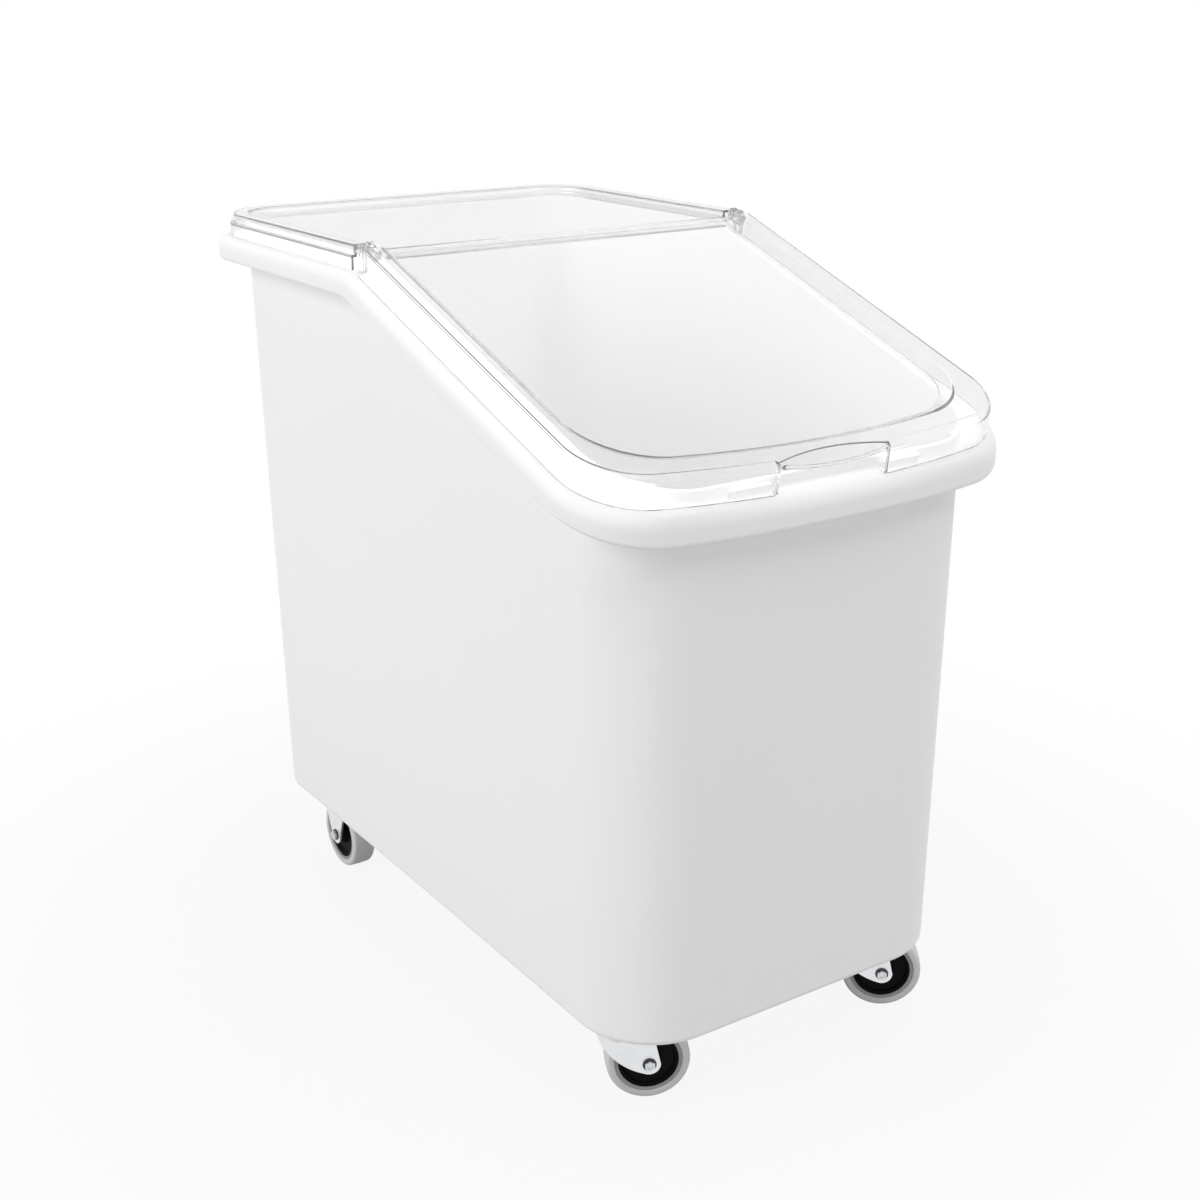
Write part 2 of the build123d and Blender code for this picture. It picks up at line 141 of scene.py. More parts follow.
def rim_top(y, shift):
    """Height of the rim's top line at y, moved square to itself by shift: level at the back, a bend on
    an arc, then a straight fall towards the front."""
    centre = CREASE + BEND_RADIUS * tan(SLOPE / 2)
    radius = BEND_RADIUS + shift
    away = np.clip(centre - y, 0, radius * sin(SLOPE))
    beyond = np.maximum(centre - y - radius * sin(SLOPE), 0)
    return RIM_HEIGHT - BEND_RADIUS + np.sqrt(radius ** 2 - away ** 2) - beyond * tan(SLOPE)


def rim_row(inset, shift):
    """Row of points round the rim, set in from its edge by inset and raised square to it by shift."""
    x, y = plan_line(RIM_HALF - inset, RIM_FRONT + inset, RIM_REAR - inset,
                     RIM_FRONT_RADIUS - inset, RIM_REAR_RADIUS - inset, RIM_BOW)
    return np.stack([x, y, rim_top(y, shift)], -1)


# Turns in which a wall's plan and height come to agree
WALL_TURNS = 4


def wall_row(inset, height=None, shift=0.0):
    """Row of points round the drafted wall, set in by inset, at a height or at a shift over the rim. The
    plan grows with the height and the rim's height follows the plan, so they are worked out in turns."""
    z = np.full(PLAN, RIM_HEIGHT if height is None else height)
    for _ in range(WALL_TURNS):
        grow = (z - BASE_HEIGHT) * DRAFT - inset
        x, y = plan_line(BASE_HALF + grow, BASE_FRONT - grow, BASE_REAR + grow,
                         WALL_FRONT_RADIUS - inset, WALL_REAR_RADIUS - inset, 0)
        if height is None:
            z = rim_top(y, shift)
    return np.stack([x, y, z], -1)


def towards_middle(row, share, middle=(0.0, 0.0)):
    """The row drawn in towards a middle point in plan: share 0 is the row, 1 the middle."""
    out = row.copy()
    out[..., :2] += share * (np.asarray(middle) - out[..., :2])
    return out


# Limits of an arc: shortest run, steepest half turn, and the most that it takes of a run
SHORTEST_RUN, STEEPEST_HALF_TURN, MOST_OF_RUN = 1e-9, 1.5, 0.49


def soften(rows, radii, steps=4):
    """Rows joined by straight runs, each inner row turned by an arc of its radius. The arc is a rational
    quadratic curve between its two tangent points, weighted by the cosine of half the turn."""
    t = np.linspace(0, 1, steps + 1)[:, None, None]
    out = [rows[:1]]
    for before, corner, after, radius in zip(rows[:-2], rows[1:-1], rows[2:], radii):
        back, ahead = before - corner, after - corner
        back_length = np.maximum(np.linalg.norm(back, axis=-1, keepdims=True), SHORTEST_RUN)
        ahead_length = np.maximum(np.linalg.norm(ahead, axis=-1, keepdims=True), SHORTEST_RUN)
        back, ahead = back / back_length, ahead / ahead_length
        half_turn = (pi - np.arccos(np.clip((back * ahead).sum(-1, keepdims=True), -1, 1))) / 2
        cut = radius * np.tan(np.minimum(half_turn, STEEPEST_HALF_TURN))
        cut = np.minimum(cut, MOST_OF_RUN * np.minimum(back_length, ahead_length))
        first, middle, last = (1 - t) ** 2, 2 * t * (1 - t) * np.cos(half_turn), t ** 2
        bent = first * (corner + back * cut) + middle * corner + last * (corner + ahead * cut)
        out.append(bent / (first + middle + last))
    out.append(rows[-1:])
    return np.concatenate(out)


def round_loop(rows):
    """Rows of the right half, from front middle to rear middle, closed round over the left."""
    return np.concatenate([rows, rows[:, -2:0:-1] * (-1, 1, 1)], axis=1)


def both_sides(rows):
    """Rows from the middle to the right end, carried over to the left end."""
    return np.concatenate([rows[:, :0:-1] * (-1, 1, 1), rows], axis=1)


def end_caps(rows, first=0):
    """The two cut ends of a folded sheet: from a first row on, each end's outer points joined to its
    inner points."""
    half = len(rows) // 2
    return [np.stack([rows[first:half, k], rows[::-1][first:half, k]], 1) for k in (0, -1)]


def to_spine(row):
    """The row drawn in to the middle line."""
    return row * (0, 1, 1)


def rounded_rectangle(width, length, radius, steps=6):
    """Closed outline of a rectangle with its corners on arcs."""
    angle = np.concatenate([q * pi / 2 + np.linspace(0, pi / 2, steps + 1) for q in range(4)])
    quarter = np.repeat(np.arange(4), steps + 1)
    sx = np.choose(quarter, [1, -1, -1, 1])
    sy = np.choose(quarter, [1, 1, -1, -1])
    x = sx * (width / 2 - radius) + radius * np.cos(angle)
    y = sy * (length / 2 - radius) + radius * np.sin(angle)
    return np.stack([x, y], -1)


def slab(outline, low, high, edge):
    """Plate between two heights with its upper and lower edges on arcs: an outline carried up between
    two middle points."""
    flat = np.concatenate([outline, np.zeros((len(outline), 1))], -1)
    middle = outline.mean(0)
    levels = ((1, low), (0, low), (0, high), (1, high))
    rows = [towards_middle(flat, share, middle) + (0, 0, z) for share, z in levels]
    return soften(np.array(rows), (edge, edge), steps=3)


def turned(points, radii, count=48, steps=3):
    """Points of radius and height carried round the axis, with their corners on arcs."""
    angle = np.linspace(0, 2 * pi, count, endpoint=False)
    rows = [np.stack([r * np.cos(angle), r * np.sin(angle), np.full(count, h)], -1) for r, h in points]
    return soften(np.array(rows), radii, steps)


def hexagonal(points, flats, count=48):
    """Points of radius and height carried round the axis, no further out than a hexagon's flats."""
    angle = np.linspace(0, 2 * pi, count, endpoint=False)
    side = flats / 2 / np.cos((angle + pi / 6) % (pi / 3) - pi / 6)
    rows = [np.stack([np.minimum(r, side) * np.cos(angle), np.minimum(r, side) * np.sin(angle),
                      np.full(count, h)], -1) for r, h in points]
    return np.array(rows)


def on_slope(points):
    """Points given across, up along and square to the slope, put in the bin's frame."""
    across = points[..., :1] * (1, 0, 0)
    up = points[..., 1:2] * (0, cos(SLOPE), sin(SLOPE))
    out = points[..., 2:] * (0, -sin(SLOPE), cos(SLOPE))
    return across + up + out + (0, CREASE, RIM_HEIGHT)


# Metres within which points are merged, and length of edge under which a face is dropped
MERGED, DROPPED = 2e-6, 1e-6


def make_piece(name, grids, finish, body, replaced=(), sharp=38.0):
    """Object from grids of points, each with a word on whether its rows close on themselves. Equal
    points are merged, so seams and poles are closed, and the faces are turned outwards."""
    coords, quads, start = [], [], 0
    for points, closed in grids:
        rows, columns = points.shape[:2]
        index = start + np.arange(rows * columns).reshape(rows, columns)
        if closed:
            index = np.hstack([index, index[:, :1]])
        corners = (index[:-1, :-1], index[:-1, 1:], index[1:, 1:], index[1:, :-1])
        quads.append(np.stack(corners, -1).reshape(-1, 4))
        coords.append(points.reshape(-1, 3))
        start += rows * columns
    mesh = bpy.data.meshes.new(name)
    mesh.from_pydata((np.concatenate(coords) * MM).tolist(), [], np.concatenate(quads).tolist())
    shape = bmesh.new()
    shape.from_mesh(mesh)
    bmesh.ops.remove_doubles(shape, verts=shape.verts, dist=MERGED)
    bmesh.ops.dissolve_degenerate(shape, edges=shape.edges, dist=DROPPED)
    bmesh.ops.recalc_face_normals(shape, faces=shape.faces)
    shape.to_mesh(mesh)
    shape.free()
    mesh.polygons.foreach_set("use_smooth", np.ones(len(mesh.polygons), bool))
    mesh.set_sharp_from_angle(angle=radians(sharp))
    piece = bpy.data.objects.new(name, mesh)
    bpy.context.scene.collection.objects.link(piece)
    mesh.materials.append(finish)
    piece.modifiers.new("even_shading", "WEIGHTED_NORMAL").keep_sharp = True
    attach(piece, body)
    if replaced:
        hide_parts(*replaced)


# Finishes

def new_finish(name):
    """Material with its node tree and its shader."""
    finish = bpy.data.materials.new(name)
    finish.use_nodes = True
    tree = finish.node_tree
    return finish, tree, tree.nodes["Principled BSDF"]


def add(tree, kind, settings=None, **inputs):
    """Node with settings on it and values or links on its inputs. An input goes by its name, with _ for
    a space, or by its number as i0, i1 and so on."""
    node = tree.nodes.new(kind)
    for key, value in (settings or {}).items():
        setattr(node, key, value)
    for key, value in inputs.items():
        numbered = key[0] == "i" and key[1:].isdigit()
        socket = node.inputs[int(key[1:]) if numbered else key.replace("_", " ")]
        if isinstance(value, bpy.types.NodeSocket):
            tree.links.new(value, socket)
        else:
            socket.default_value = value
    return node


def worked_out(tree, operation, *values):
    """Result of one operation on values or links."""
    inputs = {f"i{k}": value for k, value in enumerate(values)}
    return add(tree, "ShaderNodeMath", {"operation": operation}, **inputs).outputs[0]


def make_surface_group():
    """Grain shared by all finishes: fine grain for bump, broad mottle for tone, and thin scuffs from a
    stretched noise cut off near its top."""
    group = bpy.data.node_groups.new("moulded_surface", "ShaderNodeTree")
    face = group.interface
    for name, kind in (("Place", "NodeSocketVector"), ("Grain Scale", "NodeSocketFloat"),
                       ("Mottle Scale", "NodeSocketFloat"), ("Scuff Scale", "NodeSocketFloat")):
        face.new_socket(name, in_out="INPUT", socket_type=kind)
    for name in ("Grain", "Mottle", "Scuff"):
        face.new_socket(name, in_out="OUTPUT", socket_type="NodeSocketFloat")
    entry = group.nodes.new("NodeGroupInput").outputs
    leave = group.nodes.new("NodeGroupOutput").inputs
    place, noise = entry["Place"], "ShaderNodeTexNoise"
    grain = add(group, noise, Vector=place, Scale=entry["Grain Scale"], Detail=3.0)
    mottle = add(group, noise, Vector=place, Scale=entry["Mottle Scale"], Detail=4.0)
    stretched = add(group, "ShaderNodeMapping", Vector=place, Rotation=(0.6, 0.9, 0.4),
                    Scale=(1.0, 14.0, 3.0))
    scuff = add(group, noise, Vector=stretched.outputs[0], Scale=entry["Scuff Scale"], Detail=2.0)
    cut = add(group, "ShaderNodeMapRange", Value=scuff.outputs[0], From_Min=0.66, From_Max=0.74)
    group.links.new(grain.outputs[0], leave["Grain"])
    group.links.new(mottle.outputs[0], leave["Mottle"])
    group.links.new(cut.outputs[0], leave["Scuff"])
    return group


moulded_surface = make_surface_group()


def surface_of(tree, grain, mottle, scuff):
    """The shared grain placed in a finish at its own scales, read on object coordinates."""
    place = add(tree, "ShaderNodeTexCoord").outputs["Object"]
    node = add(tree, "ShaderNodeGroup", {"node_tree": moulded_surface}, Place=place, Grain_Scale=grain,
               Mottle_Scale=mottle, Scuff_Scale=scuff)
    return node.outputs


def mottled(tree, shader, surface, first, second):
    """Base colour that goes from first to second with the mottle."""
    mix = add(tree, "ShaderNodeMix", {"data_type": "RGBA"}, i0=surface["Mottle"], i6=(*first, 1),
              i7=(*second, 1))
    tree.links.new(mix.outputs[2], shader.inputs["Base Color"])


def dulled(tree, shader, surface, low, high, scuffed):
    """Roughness that goes from low to high with the mottle, and rises by scuffed in the scuffs."""
    base = add(tree, "ShaderNodeMapRange", Value=surface["Mottle"], To_Min=low, To_Max=high).outputs[0]
    rough = worked_out(tree, "MULTIPLY_ADD", surface["Scuff"], scuffed, base)
    tree.links.new(rough, shader.inputs["Roughness"])


def grained(tree, shader, surface, strength, distance):
    """Fine relief of the grain on the shader's normal."""
    bump = add(tree, "ShaderNodeBump", Height=surface["Grain"], Strength=strength, Distance=distance)
    tree.links.new(bump.outputs[0], shader.inputs["Normal"])


def make_bin_white():
    """White polyethylene: satin, with a fine moulded grain, faint mottle and a few dull scuffs."""
    finish, tree, shader = new_finish("bin_white_polyethylene")
    surface = surface_of(tree, grain=900.0, mottle=9.0, scuff=26.0)
    mottled(tree, shader, surface, (0.935, 0.935, 0.935), (0.955, 0.955, 0.952))
    dulled(tree, shader, surface, low=0.40, high=0.52, scuffed=0.12)
    grained(tree, shader, surface, strength=0.18, distance=0.0003)
    shader.inputs["Specular IOR Level"].default_value = 0.4
    return finish


def make_lid_clear():
    """Clear polycarbonate: nearly colourless, darker along its edges by absorption, with hairline scuffs
    that only dull the gloss, and open to the lamps' light."""
    finish, tree, shader = new_finish("lid_clear_polycarbonate")
    end = tree.nodes["Material Output"].inputs
    surface = surface_of(tree, grain=500.0, mottle=6.0, scuff=60.0)
    shader.inputs["Base Color"].default_value = (0.985, 0.988, 0.988, 1)
    shader.inputs["Transmission Weight"].default_value = 1.0
    shader.inputs["IOR"].default_value = 1.5
    shader.inputs["Alpha"].default_value = 0.95
    dulled(tree, shader, surface, low=0.0, high=0.03, scuffed=0.05)
    depth = add(tree, "ShaderNodeVolumeAbsorption", Color=(0.55, 0.56, 0.56, 1), Density=22.0)
    tree.links.new(depth.outputs[0], end["Volume"])
    to_lamp = add(tree, "ShaderNodeLightPath").outputs["Is Shadow Ray"]
    clear = add(tree, "ShaderNodeBsdfTransparent", Color=(0.98, 0.98, 0.98, 1))
    mix = add(tree, "ShaderNodeMixShader", i0=to_lamp, i1=shader.outputs[0], i2=clear.outputs[0])
    tree.links.new(mix.outputs[0], end["Surface"])
    return finish


def make_metal(name, first, second, low, high):
    """Plated steel or turned brass: a bright metal with a fine mottle, dulled in scuffs."""
    finish, tree, shader = new_finish(name)
    surface = surface_of(tree, grain=1400.0, mottle=90.0, scuff=180.0)
    mottled(tree, shader, surface, first, second)
    dulled(tree, shader, surface, low, high, scuffed=0.15)
    shader.inputs["Metallic"].default_value = 1.0
    grained(tree, shader, surface, strength=0.1, distance=0.0001)
    return finish


def make_plastic(name, first, second, low, high, grain, gloss):
    """Moulded plastic or rubber of one tone, with its own grain, mottle, scuffs and gloss."""
    finish, tree, shader = new_finish(name)
    shader.inputs["Specular IOR Level"].default_value = gloss
    surface = surface_of(tree, grain, mottle=60.0, scuff=120.0)
    mottled(tree, shader, surface, first, second)
    dulled(tree, shader, surface, low, high, scuffed=0.15)
    grained(tree, shader, surface, strength=0.2, distance=0.0002)
    return finish


finishes = {
    "bin_white": make_bin_white(),
    "lid_clear": make_lid_clear(),
    "zinc_steel": make_metal("zinc_plated_steel", (0.86, 0.87, 0.88), (0.74, 0.75, 0.77), 0.28, 0.42),
    "bolt_steel": make_metal("bright_bolt_steel", (0.72, 0.73, 0.75), (0.60, 0.61, 0.63), 0.18, 0.32),
    # Blackened steel for the washers: its dark tone is also painted shade for the gap round each axle bolt
    "dark_steel_and_shade": make_metal("blackened_steel_and_shade", (0.10, 0.10, 0.11), (0.06, 0.06, 0.07), 0.35, 0.5),
    "insert_brass": make_metal("turned_brass", (0.78, 0.60, 0.28), (0.66, 0.48, 0.20), 0.25, 0.40),
    "core_black": make_plastic("core_black_polypropylene", (0.003, 0.003, 0.003), (0.006, 0.006, 0.006),
                               0.45, 0.6, grain=900.0, gloss=0.06),
    "tyre_grey": make_plastic("tyre_grey_rubber", (0.66, 0.66, 0.66), (0.74, 0.74, 0.73),
                              0.55, 0.70, grain=1200.0, gloss=0.3),
    # Darker grey of the band in the tyre's stepped lip: painted shade for that groove
    "bead_painted_shade": make_plastic("bead_painted_shade_rubber", (0.30, 0.30, 0.30), (0.36, 0.36, 0.36),
                              0.5, 0.65, grain=1200.0, gloss=0.3),
}


# Bin

# A ring on the flat floor and base, as a share of the way to the middle, and its slight rounding
RING_SHARE, RING_ROUND = 0.2, 0.1
STOP_LENGTH, STOP_DEPTH, STOP_CORNER, STOP_EDGE = 40.0, 5.0, 2.0, 1.2
STOP_ROOT, STOP_HEIGHT, STOP_OUTWARD, STOP_GAP = 2.0, 7.0, 20.0, 4.2
PAD_WIDTH, PAD_LENGTH, PAD_CORNER, PAD_EDGE = 72.0, 100.0, 12.0, 0.8
PAD_DEPTH, PAD_ROOT = 2.0, 3.0


def bin_shell():
    """Bin as one closed skin: from the middle of its floor up the inner wall, over the neck and the
    rolled rim, down the outer wall and in to the middle of its base."""
    floor_edge = wall_row(WALL, BASE_HEIGHT + FLOOR)
    base_edge = wall_row(0, BASE_HEIGHT)
    inner = (
        (towards_middle(floor_edge, RING_SHARE), RING_ROUND),
        (floor_edge, FLOOR_ROUND),
        (wall_row(WALL, shift=NECK), NECK_TOP_ROUND),
        (wall_row(0, shift=NECK), NECK_TOP_ROUND),
        (wall_row(0, shift=0), NECK_FOOT_ROUND),
        (rim_row(0, 0), RIM_TOP_ROUND),
        (rim_row(0, -RIM_DEPTH), RIM_EDGE_ROUND),
        (wall_row(0, shift=-RIM_DEPTH), RIM_EDGE_ROUND),
        (base_edge, BASE_ROUND),
        (towards_middle(base_edge, RING_SHARE), RING_ROUND),
    )
    rows, rounds = zip(*inner)
    rows = np.array([towards_middle(floor_edge, 1), *rows, towards_middle(base_edge, 1)])
    return round_loop(soften(rows, rounds, steps=6))


def lid_stop(side):
    """Rounded block on the rim, just inside the front skirt on one side of the notch."""
    across = NOTCH_HALF + STOP_OUTWARD
    skirt = LID_FRONT + RIM_BOW * (across / LID_HALF) ** 2 + SHEET
    outline = rounded_rectangle(STOP_LENGTH, STOP_DEPTH, STOP_CORNER)
    block = slab(outline, -STOP_ROOT, STOP_HEIGHT, STOP_EDGE)
    return on_slope(block + (side * across, skirt + STOP_GAP + STOP_DEPTH / 2, 0))


def caster_pad(x, y):
    """Rounded plate under the base that carries a caster."""
    outline = rounded_rectangle(PAD_WIDTH, PAD_LENGTH, PAD_CORNER)
    return slab(outline, BASE_HEIGHT - PAD_DEPTH, BASE_HEIGHT + PAD_ROOT, PAD_EDGE) + (x, y, 0)


bin_grids = [bin_shell(), lid_stop(-1), lid_stop(1)]
bin_grids += [caster_pad(x, y) for x, y in CASTER_PLACES.values()]
make_piece("bin_shell", [(grid, True) for grid in bin_grids], finishes["bin_white"], "bin",
           ["bin_body"])


# Rear lid

# Section from panel to foot: inset from the lid's edge, height over the rim, rounding outside and inside,
# and the way from the outside to the inside, across and down, in thicknesses of the sheet
REAR_SECTION = (
    (20.6, 16.5, 1.0, 0.8, -1, 1),
    (19.8, 22.0, 1.0, 0.6, -1, 1),
    (3.8, 22.0, 2.0, 0.9, 1, 1),
    (3.6, 13.0, 0.7, 0.8, 1, 1),
    (0.3, 13.0, 1.0, 0.6, 1, 1),
    (0.0, 0.0, 0.6, 0.6, 1, 0),
)
EAR_X, EAR_THICKNESS, EAR_HALF, EAR_AHEAD = 203.1, 5.0, 5.5, 0.5
EAR_LOW, EAR_TOP, EAR_CUT, EAR_EDGE, EAR_STEPS = 696.5, HINGE_Z + 2.9, 1.2, 0.9, 12
WEB_LENGTH, WEB_BACK, WEB_EDGE = 9.0, 8.5, 0.8
WEB_LOW, WEB_TOP = HINGE_Z - 5.5, HINGE_Z + 2.6
LEDGE_WALL, LEDGE_NOSE, LEDGE_HEIGHT, LEDGE_HALF = 30.0, 22.0, 7.0, 181.2
LEDGE_ROUNDS = (6.0, 1.0, 0.8, 0.8, 2.5, 3.8)


def rear_lid_row(inset, height):
    """Row of points round the rear lid, from the middle of its back to its open end."""
    x, y = end_run(LID_HALF - inset, -LID_REAR + inset, LID_REAR_RADIUS - inset, 0, -REAR_LID_START)
    return np.stack([x, -y, np.full(len(x), RIM_HEIGHT + height)], -1)


def rear_lid_sheet():
    """Rear lid as one folded sheet of even thickness: panel, recess, border, crest, step and skirt, and
    back along the inside."""
    inset, height, outside, inside, across, down = np.array(REAR_SECTION).T
    insets = np.concatenate([inset, (inset + SHEET * across)[::-1]])
    heights = np.concatenate([height, (height - SHEET * down)[::-1]])
    rows = [rear_lid_row(*place) for place in zip(insets, heights)]
    rows = np.array([to_spine(rows[0]), *rows, to_spine(rows[-1])])
    return both_sides(soften(rows, np.concatenate([outside, inside[::-1]])))


def ledge(sheet):
    """Step at the front of the rear lid's panel, which reaches under the front lid's edge: the panel's
    sheet bent down and forward to a nose and back along the inside, carried across the lid. It leaves
    the panel at its full width and narrows to clear the bin's neck."""
    low, back = RIM_HEIGHT + LEDGE_HEIGHT, LEDGE_WALL + SHEET
    panel, under = sheet[1, -1], sheet[-2, -1]
    section = (
        panel, (panel[0], LEDGE_WALL, panel[2]),
        (LEDGE_HALF, LEDGE_WALL, low + SHEET), (LEDGE_HALF, LEDGE_NOSE, low + SHEET),
        (LEDGE_HALF, LEDGE_NOSE, low), (LEDGE_HALF, back, low),
        (under[0], back, under[2]), under,
    )
    rows = np.array(section)[:, None] * [(-1, 1, 1), (0, 1, 1), (1, 1, 1)]
    return soften(rows, LEDGE_ROUNDS)


def hinge_ear(side):
    """Ear of the rear lid that holds a hinge pin: an upright plate with a half round lower end, carried
    through its thickness, and a web from it back into the lid's side."""
    turn = np.linspace(0, pi, EAR_STEPS + 1)
    low = np.stack([EAR_HALF * np.cos(turn), -EAR_HALF * np.sin(turn)], -1)
    rise, flat = EAR_TOP - EAR_LOW, EAR_HALF - EAR_CUT
    top = [(-EAR_HALF, rise - EAR_CUT), (-flat, rise), (flat, rise), (EAR_HALF, rise - EAR_CUT)]
    outline = np.concatenate([low, top])
    plate = slab(outline, EAR_X - EAR_THICKNESS / 2, EAR_X + EAR_THICKNESS / 2, EAR_EDGE)
    ear = np.stack([side * plate[..., 2], HINGE_Y - EAR_AHEAD + plate[..., 0], EAR_LOW + plate[..., 1]], -1)
    web = slab(rounded_rectangle(EAR_THICKNESS, WEB_LENGTH, WEB_EDGE), WEB_LOW, WEB_TOP, WEB_EDGE)
    return ear, web + (side * EAR_X, HINGE_Y + WEB_BACK, 0)


rear_sheet = rear_lid_sheet()
rear_ledge = ledge(rear_sheet)
make_piece(
    "rear_lid_moulding",
    [(grid, False) for grid in (rear_sheet, rear_ledge, *end_caps(rear_sheet, 1), *end_caps(rear_ledge))]
    + [(grid, True) for side in (-1, 1) for grid in hinge_ear(side)],
    finishes["lid_clear"], "rear_lid", ["rear_lid"],
)


# Front lid

# Heights are square to the slope. The skirt leans in by its leans up to the crest.
CREST, SIDE_LEAN, FRONT_LEAN = 26.0, 2.3, 4.8
SIDE_BORDER, FRONT_BORDER = 18.8, 25.0
RECESS_RUN, RECESS_DEPTH, PANEL_RADIUS, PANEL_BOW = 9.0, 7.0, 62.0, 20.0
PANEL_ROUND, BORDER_ROUND, FOOT_ROUND = 1.6, 1.0, 0.6
INNER_BORDER_ROUND, UNDER_ROUND = 0.9, 1.2

# Crest: its cut and its rounding outside and inside, and what the rounder crest along the front adds
CREST_CUT, CREST_ROUND, HOLLOW_ROUND = 1.8, 1.4, 0.6
CROWN_CUT, CROWN_ROUND, CROWN_HOLLOW = 2.4, 5.0, 3.6

# Notch: height of its lip at its ends and how far that hangs at its middle, width over which it starts,
# and how far its facet falls and reaches back, at its ends and more at its middle
LIP_HEIGHT, LIP_HANG, NOTCH_START = 22.4, 5.0, 1.6
FACET_FALL, FACET_REACH = (0.2, 4.4), (0.4, 10.5)
LEAST_GAP = 0.05
GRIP_RADIUS, GRIP_INSET, GRIP_RISE, GRIP_TAPER, GRIP_SIDES = 1.9, 1.5, 0.2, 16, 16
CHEEK_LENGTH, CHEEK_CORNER, CHEEK_EDGE = 6.0, 0.7, 0.5
CHEEK_INSET, CHEEK_BACK, CHEEK_LOW, CHEEK_TOP = 1.3, 3.3, 0.6, CREST - 2.6

# Hinge pins: reach of the lug and of the pin from the lid's middle, and the arm that carries the lug
LUG_START, LUG_END, PIN_END = 193.6, 199.6, 207.2
LUG_RADIUS, PIN_RADIUS, PIN_ROUNDS = 6.0, 3.5, (0.8, 0.8, 0.6, 0.6)
ARM_LENGTH, ARM_EDGE, ARM_DEPTH, ARM_TOP = 15.0, 0.8, 5.8, CREST - 1.5

# Open ends: how far they round off, and the steps of the turn in degrees
END_ROUND, END_STEPS = 1.0, (30, 55, 72)

# Samples across the front edge: even in the notch, close at its end, then even up to the corner
FRONT_CIRCLE = (LID_HALF ** 2 + LID_BOW ** 2) / (2 * LID_BOW)
FRONT_REACH = LID_HALF - LID_FRONT_RADIUS
FRONT_TURN = np.arctan2(FRONT_REACH, np.sqrt((FRONT_CIRCLE - LID_FRONT_RADIUS) ** 2 - FRONT_REACH ** 2))
NOTCH_SAMPLES = np.linspace(0, NOTCH_HALF - 3, 22)
NOTCH_END = NOTCH_HALF + np.array([-2.2, -1.5, -1.0, -0.6, -0.3, 0.0, 0.3, 0.7, 1.3, 2.2])
BESIDE_NOTCH = np.linspace(NOTCH_HALF + 4, FRONT_REACH * 1.02, 14)
LID_ACROSS = np.concatenate([NOTCH_SAMPLES, NOTCH_END, BESIDE_NOTCH])
LID_SHARE = np.append(np.arcsin(LID_ACROSS / FRONT_CIRCLE) / FRONT_TURN, 1.0)
LID_COUNT = len(LID_SHARE) + len(ARC) + len(SIDE)


def front_lid_row(inset, height):
    """Row of points round the front lid's leaning skirt, from the middle of its front to its open end,
    set in by inset at a height square to the slope. Both may hold one value per sample."""
    side = inset + SIDE_LEAN * height / CREST
    front = inset + FRONT_LEAN * height / CREST
    radius = LID_FRONT_RADIUS - (side + front) / 2
    end = FRONT_LID_END - END_ROUND
    x, v = end_run(LID_HALF - side, LID_FRONT + front, radius, LID_BOW, end, LID_SHARE)
    return np.stack([x, v, np.broadcast_to(height, x.shape)], -1)


def panel_row(run, grow, height):
    """Row of points round the front lid's sunk panel, widened by run and grow at a height."""
    wider = run + grow
    half = LID_HALF - SIDE_LEAN - SIDE_BORDER - RECESS_RUN + wider
    front = LID_FRONT + FRONT_LEAN + FRONT_BORDER + RECESS_RUN - wider
    x, v = end_run(half, front, PANEL_RADIUS + wider, PANEL_BOW, FRONT_LID_END - END_ROUND, LID_SHARE)
    return np.stack([x, v, np.full(len(x), height)], -1)


def notch_shape():
    """How far each sample of the outline lies in the finger notch, from 0 outside to 1 inside, how near
    it lies to the notch's middle, and how round the crest is there: full along the rest of the front and
    fading round the corner."""
    across = np.full(LID_COUNT, LID_HALF)
    across[:len(LID_ACROSS)] = LID_ACROSS
    inside = np.clip((NOTCH_HALF + NOTCH_START / 2 - across) / NOTCH_START, 0, 1)
    inside = inside * inside * (3 - 2 * inside)
    middle = np.clip(1 - (across / NOTCH_HALF) ** 2, 0, 1)
    fading = np.concatenate([np.ones(len(LID_SHARE)), 1 - ARC, np.zeros(len(SIDE))])
    return inside, middle, fading * (1 - inside)


def rounded_ends(rows, along):
    """Folded sheet with its two open ends rounded off: past each end the outer and inner points close in
    on their middle while they run on along the given direction."""
    end = rows[:, [0, -1]]
    middle = (end + end[::-1]) / 2
    steps = [middle + (end - middle) * cos(a) + np.multiply(along, END_ROUND * sin(a))
             for a in np.radians(END_STEPS)]
    left = [step[:, :1] for step in steps[::-1]]
    right = [step[:, 1:] for step in steps]
    return np.concatenate([*left, rows, *right], axis=1)


